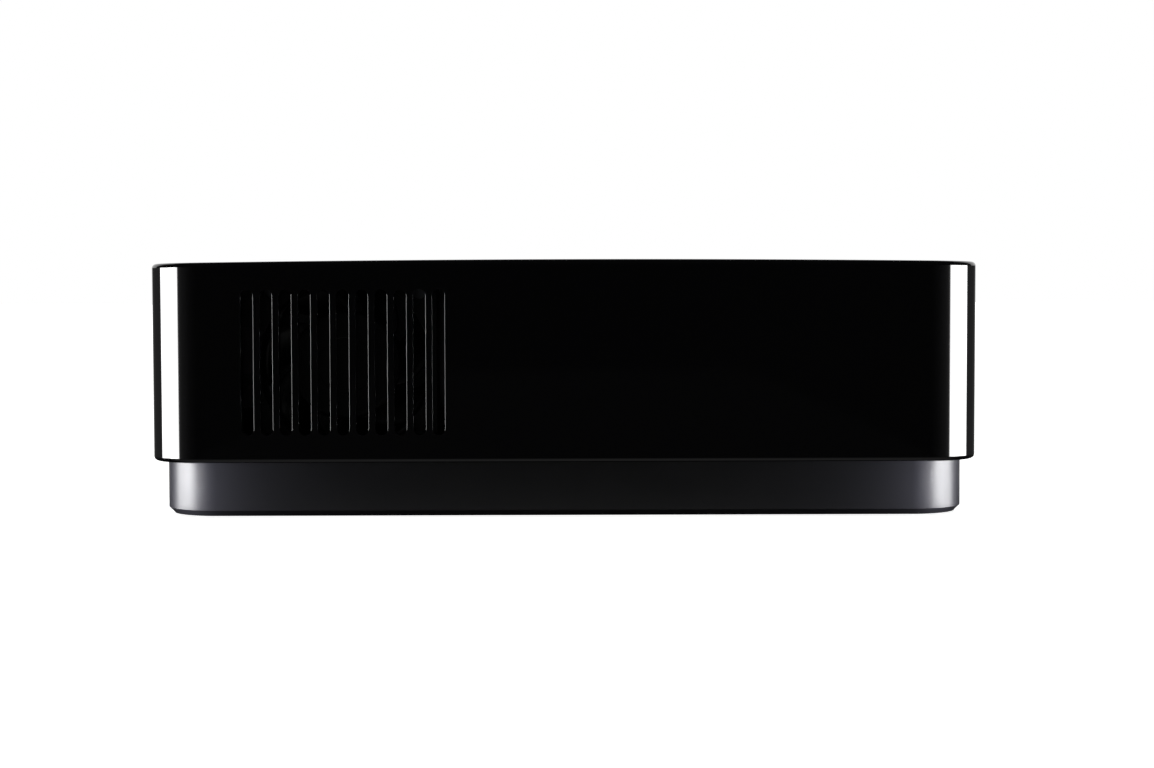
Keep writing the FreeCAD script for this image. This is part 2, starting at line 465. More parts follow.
# ---------------------------------------------------------------- casing
def make_top_shell():
    """The gloss cover: a crowned five-sided box with vents, the tray mouth and rear notch."""
    body = new_body("top_shell")
    outline = sketch_on(body, "shell_side_view", "XZ_Plane", "0", "shell_low", "0")
    half, edge, crown = value("end_x"), value("shell_height - shell_crown"), value("shell_crown")
    points = [FreeCAD.Vector(*p, 0) for p in ((-half, 0), (half, 0), (half, edge), (-half, edge))]
    outline.addGeometry(Part.LineSegment(points[0], points[1]))
    outline.addGeometry(Part.LineSegment(points[1], points[2]))
    outline.addGeometry(Part.Arc(points[2], FreeCAD.Vector(0, edge + crown, 0), points[3]))
    outline.addGeometry(Part.LineSegment(points[3], points[0]))
    outline.addConstraint(Sketcher.Constraint("Coincident", 0, 2, 1, 1))
    outline.addConstraint(Sketcher.Constraint("Coincident", 1, 2, 2, 1))
    outline.addConstraint(Sketcher.Constraint("Coincident", 2, 2, 3, 1))
    outline.addConstraint(Sketcher.Constraint("Coincident", 3, 2, 0, 1))
    outline.addConstraint(Sketcher.Constraint("Vertical", 1))
    outline.addConstraint(Sketcher.Constraint("Vertical", 3))
    outline.addConstraint(Sketcher.Constraint("Symmetric", 0, 1, 0, 2, -1, 1))
    constrain(outline, "shell_length", "DistanceX", 0, 1, 0, 2)
    constrain(outline, "shell_height - shell_crown", "DistanceY", 1, 1, 1, 2)
    constrain(outline, "(end_x ^ 2 + shell_crown ^ 2) / (2 * shell_crown)", "Radius", 2)
    outer = pad(body, outline, "shell_depth")
    outer.Midplane = True
    corners = round_edges(body, "shell_corners", outer, "shell_corner", is_upright)
    top, low = value("shell_edge"), value("shell_low")
    rims = round_edges(body, "shell_top_edge", corners, "shell_top_round",
                       lambda edge: edge.BoundBox.ZMin > top - 0.001 and edge.BoundBox.XLength > 1e-6)
    lip = round_edges(body, "shell_rim", rims, "shell_rim_round",
                      lambda edge: edge.BoundBox.ZMax < low + 0.001)
    room = sketch_on(body, "shell_room", "XY_Plane", "0", "0", "shell_low")
    draw_rounded(room, "2 * inner_end", "2 * inner_side", "shell_corner - shell_wall")
    pocket(body, room, "roof_under - shell_low", backward=True)
    for side_x in SIDES:
        for side_y in SIDES:
            mark = f"{'front' if side_x > 0 else 'rear'}_{'right' if side_y > 0 else 'left'}"
            where = (f"{side_x} * post_x", f"{side_y} * post_y")
            post = sketch_on(body, "post_" + mark, "XY_Plane", *where, "boss_top + slip")
            draw_circle(post, "post_radius")
            pad(body, post, "roof_under - boss_top - slip")
            pilot = sketch_on(body, "pilot_" + mark, "XY_Plane", *where, "boss_top + slip")
            draw_circle(pilot, "casing_screw_radius")
            pocket(body, pilot, "casing_screw_length", backward=True)
    vent = sketch_on(body, "vent", "XZ_Plane", "vent_first_x", "vent_mid", "side_y + shell_wall")
    draw_upright_slot(vent, "vent_width", "vent_height")
    slot = pocket(body, vent, "2 * shell_wall + rim_gap")
    row = body.newObject("PartDesign::LinearPattern", "vent_row")
    row.Originals = [slot]
    row.Direction = (vent, ["H_Axis"])
    row.Mode = "Spacing"
    bind(row, "Offset", "vent_pitch")
    bind(row, "Occurrences", "vent_count")
    body.Tip = row
    mouth = sketch_on(body, "tray_mouth", "YZ_Plane", "bay_y", "bezel_mid", "end_x + shell_wall")
    draw_rectangle(mouth, "bezel_width + 2 * bezel_gap", "bezel_height + 2 * bezel_gap")
    pocket(body, mouth, "2 * shell_wall + slip")
    hole = sketch_on(body, "button_hole", "YZ_Plane", "column_y", "button_level", "end_x + shell_wall")
    draw_circle(hole, "button_radius + slip")
    pocket(body, hole, "2 * shell_wall + slip")
    for side in SIDES:
        mark = "right" if side > 0 else "left"
        hole = sketch_on(body, "light_hole_" + mark, "YZ_Plane", f"column_y + {side} * light_span / 2",
                         "light_level", "end_x + shell_wall")
        draw_circle(hole, "light_radius + seat_gap")
        pocket(body, hole, "2 * shell_wall + slip")
    hole = sketch_on(body, "ir_hole", "YZ_Plane", "column_y", "ir_level", "end_x + shell_wall")
    draw_rectangle(hole, "ir_width + 2 * seat_gap", "ir_height + 2 * seat_gap")
    pocket(body, hole, "2 * shell_wall + slip")
    hole = sketch_on(body, "front_usb_hole", "YZ_Plane", "column_y", "front_usb_level", "end_x + shell_wall")
    draw_rectangle(hole, "usb_width + 2 * socket_play", "usb_port_height + 2 * socket_play")
    pocket(body, hole, "2 * shell_wall + slip")
    for level in ("column_screw_low", "column_screw_high"):
        boss = sketch_on(body, level + "_boss", "YZ_Plane", "column_y", level,
                         "column_board_front + seat_gap")
        draw_circle(boss, "column_boss")
        pad(body, boss, "inner_end - column_board_front")
        pilot = sketch_on(body, level + "_pilot", "YZ_Plane", "column_y", level,
                          "column_board_front")
        draw_circle(pilot, "small_screw_radius")
        pocket(body, pilot, "small_screw_length", backward=True)
    notch = sketch_on(body, "rear_notch", "YZ_Plane", "0",
                      "(shell_low + notch_top - shell_wall) / 2", "-end_x - shell_wall")
    draw_rectangle(notch, "2 * opening_half", "notch_top - shell_low + shell_wall")
    pocket(body, notch, "2 * shell_wall + slip", backward=True)
    return body


def make_base():
    """The matte lower tub with its floor, bosses, intake slots and rear opening."""
    body = new_body("base")
    outline = sketch_on(body, "base_outline", "XY_Plane", "0", "0", "foot_stand")
    draw_rounded(outline, "2 * base_end", "2 * base_side", "base_corner")
    outer = pad(body, outline, "base_top - foot_stand")
    bottom = value("foot_stand")
    round_edges(body, "base_edge", outer, "base_chamfer",
                lambda edge: edge.BoundBox.ZMax < bottom + 0.001, kind="Chamfer")
    room = sketch_on(body, "base_room", "XY_Plane", "0", "0", "floor_top")
    draw_rounded(room, "2 * base_inner_end", "2 * base_inner_side", "base_corner - base_wall")
    pocket(body, room, "base_top - floor_top + base_wall", backward=True)

    def boss(name, where, radius, top, hole, hole_depth):
        """A round boss on the floor with a blind hole down from its top."""
        ring = sketch_on(body, name, "XY_Plane", *where, "floor_top")
        draw_circle(ring, radius)
        pad(body, ring, f"({top}) - floor_top")
        bore = sketch_on(body, name + "_bore", "XY_Plane", *where, top)
        draw_circle(bore, hole)
        pocket(body, bore, hole_depth)

    for side_x in SIDES:
        for side_y in SIDES:
            mark = f"{'front' if side_x > 0 else 'rear'}_{'right' if side_y > 0 else 'left'}"
            where = (f"{side_x} * post_x", f"{side_y} * post_y")
            boss("boss_" + mark, where, "boss_radius", "boss_top", "casing_screw_radius + screw_play",
                 "boss_top - foot_stand")
            sink = sketch_on(body, "sink_" + mark, "XY_Plane", *where, "foot_stand")
            draw_circle(sink, "casing_head_radius + slip")
            pocket(body, sink, "casing_head_level - foot_stand", backward=True)
            seat = sketch_on(body, "foot_seat_" + mark, "XY_Plane", f"{side_x} * (end_x - foot_inset_x)",
                             f"{side_y} * (side_y - foot_inset_y)", "0")
            draw_circle(seat, "foot_radius + seat_gap")
            pocket(body, seat, "foot_thick", backward=True)
    for mark_y in ("fix_left_y", "fix_right_y"):
        boss("front_" + mark_y, ("board_fix_front_x", mark_y), "board_boss_radius", "board_level",
             "small_screw_radius", "board_level - floor_top")
        boss("rear_" + mark_y, ("board_fix_rear_x", mark_y), "board_boss_radius", "board_level",
             "casing_screw_radius", "board_level - floor_top")
        boss("cage_" + mark_y, ("cage_front_fix_x", mark_y), "board_boss_radius", "cage_level",
             "small_screw_radius", "small_screw_length + cage_thick")
    for side in SIDES:
        mark = "front" if side > 0 else "rear"
        boss("fan_boss_" + mark, (f"fan_x + {side} * bracket_fix_span / 2", "fan_mid_y"),
             "board_boss_radius", "bracket_foot_level", "small_screw_radius",
             "bracket_foot_level - floor_top")
    intake = sketch_on(body, "intake", "XY_Plane", "intake_first_x", "0", "floor_top")
    draw_upright_slot(intake, "intake_width", "intake_length")
    slot = pocket(body, intake, "base_floor")
    row = body.newObject("PartDesign::LinearPattern", "intake_row")
    row.Originals = [slot]
    row.Direction = (intake, ["H_Axis"])
    row.Mode = "Spacing"
    bind(row, "Offset", "intake_pitch")
    bind(row, "Occurrences", "intake_count")
    body.Tip = row
    rear = sketch_on(body, "rear_opening", "YZ_Plane", "0",
                     "(floor_top + base_top) / 2 + base_wall / 2", "-base_end - base_wall")
    draw_rectangle(rear, "2 * opening_half", "base_top - floor_top + base_wall")
    pocket(body, rear, "2 * base_wall + slip", backward=True)
    return body


def make_casing_fasteners():
    feet, screws = [], []
    for side_x in SIDES:
        for side_y in SIDES:
            mark = f"{'front' if side_x > 0 else 'rear'}_{'right' if side_y > 0 else 'left'}"
            feet.append(rod("foot_" + mark, "Z", (f"{side_x} * (end_x - foot_inset_x)",
                        f"{side_y} * (side_y - foot_inset_y)", "0"), "foot_radius", "foot_thick"))
            screws.append(screw("shell_screw_" + mark, "Z",
                          (f"{side_x} * post_x", f"{side_y} * post_y",
                           "casing_head_level - casing_head_height"),
                          "casing_screw_radius", "casing_screw_length", "casing_head_radius",
                          "casing_head_height"))
    group("rubber_feet", feet)
    group("shell_screws", screws)


# ---------------------------------------------------------------- main board
def make_main_board():
    """The board, its fixings and the parts soldered on it. Gives back its screws."""
    plate = block("board_plate", ("board_rear_x", "board_left_y", "board_level"),
                  ("board_front_x", "board_right_y", "board_top"))
    holes, screws, standoffs = [], [], []
    for mark_x, rear in (("board_fix_rear_x", True), ("board_fix_front_x", False)):
        for mark_y in ("fix_left_y", "fix_right_y"):
            mark = mark_x + mark_y
            shank = "casing_screw_radius" if rear else "small_screw_radius"
            holes.append(rod("hole_" + mark, "Z", (mark_x, mark_y, "board_level - slip"),
                             shank + " + screw_play", "board_thick + 2 * slip"))
            if rear:
                pillar = rod("pillar_" + mark, "Z", (mark_x, mark_y, "board_top"),
                             "board_boss_radius - slip", "cage_level - board_top")
                stem = rod("stem_" + mark, "Z", (mark_x, mark_y, "floor_top"),
                           "casing_screw_radius", "board_top - floor_top")
                bore = rod("pillar_bore_" + mark, "Z", (mark_x, mark_y, "cage_level - small_screw_length"),
                           "small_screw_radius", "small_screw_length")
                standoffs.append(less("standoff_" + mark, fused("standoff_whole_" + mark,
                                                                [pillar, stem]), [bore]))
            else:
                screws.append(screw("board_screw_" + mark, "Z",
                                    (mark_x, mark_y, "board_top + small_head_height"),
                                    "small_screw_radius", "board_top - floor_top", "small_head_radius",
                                    "small_head_height", sign=-1))
    corner = block("board_corner", ("board_rear_x - slip", "post_y - boss_radius - slip",
                                    "board_level - slip"),
                   ("boss_radius + slip - post_x", "board_right_y + slip", "board_top + slip"))
    less("main_board", plate, holes + [corner])
    group("cage_standoffs", standoffs)

    block("soc_chip", ("chip_x - chip_size / 2", "chip_y - chip_size / 2", "board_top"),
          ("chip_x + chip_size / 2", "chip_y + chip_size / 2", "sink_low"))
    fins = [block("sink_plate", ("chip_x - sink_size / 2", "chip_y - sink_size / 2", "sink_low"),
                  ("chip_x + sink_size / 2", "chip_y + sink_size / 2", "sink_low + sink_foot"))]
    for index in range(count("sink_fins")):
        left = f"chip_x - sink_size / 2 + {index} * (sink_size - sink_fin) / (sink_fins - 1)"
        fins.append(block(f"sink_fin_{index}", (left, "chip_y - sink_size / 2", "sink_low + sink_foot"),
                          (f"{left} + sink_fin", "chip_y + sink_size / 2", "sink_low + sink_height")))
    fused("heatsink", fins)
    chips = []
    for row in range(count("memory_rows")):
        for column in range(2):
            low_x = f"chip_x + sink_size / 2 + memory_space + {column} * (memory_wide + memory_space)"
            low_y = f"chip_y - memory_long - memory_space / 2 + {row} * (memory_long + memory_space)"
            chips.append(block(f"memory_{row}_{column}", (low_x, low_y, "board_top"),
                               (f"{low_x} + memory_wide", f"{low_y} + memory_long",
                                "board_top + memory_high")))
    group("memory_chips", chips)
    flash_y = "chip_y + sink_size / 2 + flash_space"
    block("flash_chip", ("chip_x - flash_wide / 2", flash_y, "board_top"),
          ("chip_x + flash_wide / 2", f"{flash_y} + flash_long", "board_top + memory_high"))
    block("network_magnetics", ("lan_front_x + memory_space", "lan_y - magnetics_long / 2", "board_top"),
          ("lan_front_x + memory_space + magnetics_wide", "lan_y + magnetics_long / 2",
           "board_top + magnetics_high"))
    cans = []
    for index in range(count("can_count")):
        where = (f"dc_depth - socket_face + can_space + {index} * can_pitch", "dc_y", "board_top")
        wide, tall = ("can_narrow", "can_short") if index % 2 else ("can_wide", "can_tall")
        cans.append(rod(f"can_{index}", "Z", where, wide, tall))
    group("capacitors", cans)
    coils = []
    for index in range(count("coil_count")):
        low_x = f"lan_front_x + coil_space + {index} * coil_pitch"
        coils.append(block(f"coil_{index}", (low_x, "lan_y - coil_size / 2", "board_top"),
                           (f"{low_x} + coil_size", "lan_y + coil_size / 2", "board_top + coil_high")))
    group("inductors", coils)
    return screws


def make_headers():
    """The plugs and sockets that the two small cables end in."""
    lead_x, lead_y = "fan_x + fan_size / 2 + fan_lead_start + fan_lead_bend", "fan_mid_y + 2 * fan_lead_bend"
    fan = block("fan_header", (f"{lead_x} - fan_header_long / 2", f"{lead_y} - fan_header_wide / 2",
                               "board_top"),
                (f"{lead_x} + fan_header_long / 2", f"{lead_y} + fan_header_wide / 2",
                 "board_top + fan_header_height"))
    front = block("front_header", ("board_front_x - header_depth",
                                   "cable_y - cable_plug_width / 2 + seat_gap", "board_top"),
                  ("board_front_x", "cable_y + cable_plug_width / 2", "board_top + header_height"))
    column = block("column_header", ("column_board_x - cable_plug_depth", "cable_y - cable_plug_width / 2",
                   "cable_plug_level"), ("column_board_x", "cable_y + cable_plug_width / 2",
                   "cable_plug_level + cable_plug_height"))
    group("cable_headers", [fan, front, column])


# ---------------------------------------------------------------- rear sockets
def make_rear_panel():
    """The steel pan behind the rear opening, with a hole for each socket."""
    pan = block("pan", ("slip / 2 - base_inner_end", "-panel_half_width", "floor_top + seat_gap"),
                ("-panel_back", "panel_half_width", "panel_top"))
    room = block("pan_room", ("-base_inner_end - slip", "panel_thick - panel_half_width",
                 "floor_top + seat_gap + panel_thick"),
                 ("-panel_face", "panel_half_width - panel_thick", "panel_top - panel_thick"))
    lip = block("pan_lip", ("slip - inner_end", "-opening_half", "panel_top - panel_thick"),
                ("-panel_back", "opening_half", "panel_top"))
    holes = []
    for name in ("dc", "lan", "hdmi", "device", "av"):
        holes.append(block("hole_" + name, ("-socket_face - slip",
                                            f"{name}_y - {name}_width / 2 - socket_play",
                     "board_top - socket_play"), ("-panel_back + slip",
                     f"{name}_y + {name}_width / 2 + socket_play",
                     f"board_top + {name}_height + socket_play")))
    holes.append(block("hole_usb", ("-socket_face - slip", "usb_y - usb_width / 2 - socket_play",
                 "board_top - socket_play"), ("-panel_back + slip", "usb_y + usb_width / 2 + socket_play",
                 "board_top + 2 * usb_port_height + usb_stack_gap + socket_play")))
    less("rear_panel", fused("pan_whole", [less("pan_shell", pan, [room]), lip]), holes)


def make_rear_sockets():
    """The sockets along the board's rear edge, flush with one another."""
    def body_of(name, depth, height):
        return block(name + "_body", ("-socket_face", f"{name}_y - {name}_width / 2", "board_top"),
                     (f"{depth} - socket_face", f"{name}_y + {name}_width / 2", f"board_top + ({height})"))

    bore = rod("dc_hole", "X", ("-socket_face - slip", "dc_y", "board_top + dc_height / 2"), "dc_bore",
               "dc_depth - dc_back")
    less("dc_jack", body_of("dc", "dc_depth", "dc_height"), [bore])
    rod("dc_pin", "X", ("dc_pin_setback - socket_face", "dc_y", "board_top + dc_height / 2"),
        "dc_pin_radius", "dc_depth - dc_back - slip - dc_pin_setback")
    hole = block("lan_hole", ("-socket_face - slip", "lan_y - lan_hole_width / 2",
                              "board_top + lan_hole_lift"),
                 ("lan_hole_depth - socket_face", "lan_y + lan_hole_width / 2",
                  "board_top + lan_hole_lift + lan_hole_height"))
    less("ethernet_socket", body_of("lan", "lan_depth", "lan_height"), [hole])

    tongues = []
    ports = []
    for index in range(2):
        low = f"board_top + {index} * (usb_port_height + usb_stack_gap)"
        ports.append(block(f"usb_port_{index}", ("-socket_face - slip", "usb_y - usb_width / 2 + usb_wall",
                     f"{low} + usb_wall"), ("usb_depth - usb_back - socket_face",
                     "usb_y + usb_width / 2 - usb_wall", f"{low} + usb_port_height - usb_wall")))
        tongues.append(block(f"usb_tongue_{index}", ("usb_tongue_setback - socket_face",
                       "usb_y - usb_tongue_width / 2", f"{low} + usb_port_height / 2"),
                       ("usb_depth - usb_back - socket_face", "usb_y + usb_tongue_width / 2",
                       f"{low} + usb_port_height / 2 + usb_tongue_thick")))
    less("usb_stack", body_of("usb", "usb_depth", "2 * usb_port_height + usb_stack_gap"), ports)

    hole = block("hdmi_hole", ("-socket_face - slip", "hdmi_y - hdmi_width / 2 + hdmi_wall",
                 "board_top + hdmi_wall"), ("hdmi_depth - usb_back - socket_face",
                 "hdmi_y + hdmi_width / 2 - hdmi_wall", "board_top + hdmi_height - hdmi_wall"))
    less("hdmi_socket", body_of("hdmi", "hdmi_depth", "hdmi_height"), [hole])
    tongues.append(block("hdmi_tongue", ("tongue_setback - socket_face", "hdmi_y - hdmi_tongue_width / 2",
                   "board_top + hdmi_height / 2"), ("hdmi_depth - usb_back - socket_face",
                   "hdmi_y + hdmi_tongue_width / 2", "board_top + hdmi_height / 2 + hdmi_tongue_thick")))

    hole = block("device_hole", ("-socket_face - slip", "device_y - device_width / 2 + device_wall",
                 "board_top + device_wall"), ("device_depth - usb_back - socket_face",
                 "device_y + device_width / 2 - device_wall", "board_top + device_height - device_wall"))
    less("usb_device_socket", body_of("device", "device_depth", "device_height"), [hole])
    tongues.append(block("device_core", ("tongue_setback - socket_face", "device_y - device_core_width / 2",
                   "board_top + device_height / 2 - device_core_height / 2"),
                   ("device_depth - usb_back - socket_face", "device_y + device_core_width / 2",
                    "board_top + device_height / 2 + device_core_height / 2")))
    tongues.append(block("front_tongue", ("column_board_front + usb_back", "column_y - usb_tongue_width / 2",
                   "front_usb_level"), ("end_x - slip - usb_tongue_setback",
                                        "column_y + usb_tongue_width / 2",
                   "front_usb_level + usb_tongue_thick")))
    group("socket_tongues", tongues)

    barrels, core = [], "board_top + av_height / 2"
    length = "end_x - barrel_tip_gap - socket_face"
    for index, colour in enumerate(("yellow", "white", "red")):
        centre = f"av_y + {index - 1} * av_pitch"
        start = ("barrel_tip_gap - end_x", centre, core)
        tube = rod("barrel_" + colour, "X", start, "av_barrel_radius", length)
        inside = rod("barrel_room_" + colour, "X", (start[0] + " - slip", centre, core),
                     "av_barrel_radius - av_barrel_wall", f"{length} + slip - seat_gap")
        barrels.append(less("barrel_tube_" + colour, tube, [inside]))
        plug = rod("insert_" + colour, "X", (start[0] + " + slip", centre, core),
                   "av_barrel_radius - av_barrel_wall - seat_gap", f"{length} - slip - 2 * seat_gap")
        hole = rod("insert_hole_" + colour, "X", start, "av_core_hole", f"{length} - av_core_back")
        collar_tube = rod("collar_" + colour, "X", ("-socket_face - av_collar_height - seat_gap",
                                                    centre, core),
                          "av_collar_radius", "av_collar_height")
        collar_hole = rod("collar_hole_" + colour, "X", ("-socket_face - av_collar_height - slip",
                                                         centre, core),
                          "av_barrel_radius + seat_gap", "av_collar_height + 2 * slip")
        group("av_insert_" + colour, [less("core_" + colour, plug, [hole]),
                                      less("ring_" + colour, collar_tube, [collar_hole])])
    group("av_barrels", barrels)
    body_of("av", "av_depth", "av_height").Label = "av_block"


def make_casing_sockets():
    make_rear_panel()
    make_rear_sockets()


# ---------------------------------------------------------------- cooling
def make_fan():
    """Frame, rotor, bracket and lead. Gives back the bracket's screws."""
    left, right = "fan_x - fan_size / 2", "fan_x + fan_size / 2"
    low, high = "fan_z - fan_size / 2", "fan_z + fan_size / 2"
    square = block("fan_square", (left, "fan_front_y", low), (right, "fan_back_y", high))
    bore = rod("fan_mouth", "Y", ("fan_x", "fan_front_y - slip", "fan_z"), "fan_bore", "fan_thick + 2 * slip")
    holes = []
    bracket_holes = [rod("air_hole", "Y", ("fan_x", "fan_back_y - slip", "fan_z"), "bracket_air_hole",
                         "bracket_thick + 2 * slip")]
    screws = []
    for side_x in SIDES:
        for side_z in SIDES:
            mark = f"{'front' if side_x > 0 else 'rear'}_{'high' if side_z > 0 else 'low'}"
            x = f"fan_x + {side_x} * fan_screw_span / 2"
            z = f"fan_z + {side_z} * fan_screw_span / 2"
            holes.append(rod("fan_hole_" + mark, "Y", (x, "fan_front_y - slip", z),
                             "fan_screw_radius + fan_play", "fan_thick + 2 * slip"))
            bracket_holes.append(rod("bracket_hole_" + mark, "Y", (x, "fan_back_y - slip", z),
                                     "fan_screw_radius + screw_play", "bracket_thick + 2 * slip"))
            screws.append(screw("fan_screw_" + mark, "Y", (x, "bracket_back_y + fan_head_height", z),
                                "fan_screw_radius", "fan_screw_length", "fan_head_radius",
                                "fan_head_height", sign=-1))
    ring = less("fan_ring", square, [bore] + holes)
    base_low = "fan_back_y - fan_back"
    motor = [rod("motor_base", "Y", ("fan_x", base_low, "fan_z"), "fan_hub", "fan_back"),
             rod("bearing", "Y", ("fan_x", "fan_back_y - fan_thick / 2", "fan_z"),
                 "fan_shaft + fan_bearing_wall",
                 "fan_thick / 2 - fan_back")]
    for name, start, end in (("left", "fan_x - fan_bore - slip", "fan_x"),
                             ("right", "fan_x", "fan_x + fan_bore + slip")):
        motor.append(block("strut_" + name, (start, base_low, "fan_z - fan_strut_half"),
                           (end, "fan_back_y", "fan_z + fan_strut_half")))
    motor.append(block("strut_top", ("fan_x - fan_strut_half", base_low, "fan_z"),
                       ("fan_x + fan_strut_half", "fan_back_y", "fan_z + fan_bore + slip")))
    shaft_hole = rod("shaft_hole", "Y", ("fan_x", "fan_front_y", "fan_z"), "fan_shaft + fan_play",
                     "fan_thick - fan_shaft_cover")
    less("fan_frame", fused("fan_frame_whole", [ring] + motor), [shaft_hole])
    group("fan_screws", screws)

    plate = block("bracket_plate", (left, "fan_back_y", "bracket_foot_level"),
                  (right, "bracket_back_y", high))
    foot = block("bracket_foot", (left, "fan_front_y", "bracket_foot_level"),
                 (right, "bracket_back_y", "bracket_foot_top"))
    foot_screws = []
    for side in SIDES:
        x = f"fan_x + {side} * bracket_fix_span / 2"
        y = "fan_mid_y"
        bracket_holes.append(rod(f"foot_hole_{side > 0}", "Z", (x, y, "bracket_foot_level - slip"),
                                 "small_screw_radius + screw_play", "bracket_thick + 2 * slip"))
        foot_screws.append(screw(f"bracket_screw_{side > 0}", "Z",
                                 (x, y, "bracket_foot_top + small_head_height"),
                                 "small_screw_radius", "bracket_foot_top - floor_top",
                                 "small_head_radius", "small_head_height", sign=-1))
    less("fan_bracket", fused("bracket_whole", [plate, foot]), bracket_holes)

    rotor = new_body("fan_rotor")
    hub = sketch_on(rotor, "hub_circle", "XZ_Plane", "fan_x", "fan_z", "fan_back + fan_gap - fan_back_y")
    draw_circle(hub, "fan_hub")
    pad(rotor, hub, "fan_thick - fan_back - 2 * fan_gap")
    cup = sketch_on(rotor, "hub_cup", "XZ_Plane", "fan_x", "fan_z", "fan_back + fan_gap - fan_back_y")
    draw_circle(cup, "fan_hub - fan_hub_wall")
    pocket(rotor, cup, "fan_thick - fan_back - 2 * fan_gap - fan_hub_wall", backward=True)
    blade = sketch_on(rotor, "blade", "XY_Plane", "fan_x", "fan_mid_y - fan_blade_shift",
                      "fan_z + fan_hub - fan_blade_root")
    draw_rectangle(blade, "fan_blade_thick", "fan_blade_chord")
    blade.AttachmentOffset = FreeCAD.Placement(
        blade.AttachmentOffset.Base, FreeCAD.Rotation(FreeCAD.Vector(0, 0, 1), value("fan_blade_angle")))
    first = pad(rotor, blade, "fan_blade_tip - fan_hub + fan_blade_root")
    ring = rotor.newObject("PartDesign::PolarPattern", "blade_ring")
    ring.Originals = [first]
    ring.Axis = (hub, ["N_Axis"])
    ring.Angle = 360
    bind(ring, "Occurrences", "fan_blades")
    rotor.Tip = ring
    shaft = sketch_on(rotor, "shaft", "XZ_Plane", "fan_x", "fan_z", "fan_back - fan_back_y")
    draw_circle(shaft, "fan_shaft")
    pad(rotor, shaft, "fan_thick - fan_back - 2 * fan_gap")

    start = FreeCAD.Vector(value(right), value("fan_mid_y"), value("fan_lead_level"))
    bend = value("fan_lead_bend")
    turn_1 = start + FreeCAD.Vector(value("fan_lead_start"), 0, 0)
    turn_2 = turn_1 + FreeCAD.Vector(bend, bend, 0)
    drop = turn_2 + FreeCAD.Vector(0, bend, -bend)
    end = FreeCAD.Vector(drop.x, drop.y, value("board_top + fan_header_height"))
    lean = bend * math.sin(math.pi / 4)
    mid_1 = turn_1 + FreeCAD.Vector(lean, bend - lean, 0)
    mid_2 = turn_2 + FreeCAD.Vector(0, lean, lean - bend)
    path = Part.Wire([Part.LineSegment(start, turn_1).toShape(), Part.Arc(turn_1, mid_1, turn_2).toShape(),
                      Part.Arc(turn_2, mid_2, drop).toShape(), Part.LineSegment(drop, end).toShape()])
    ring = Part.Wire([Part.Circle(start, FreeCAD.Vector(1, 0, 0), value("fan_lead_radius")).toShape()])
    lead = doc.addObject("Part::Feature", "fan_lead")
    lead.Shape = path.makePipeShell([ring], True, False)
    return foot_screws


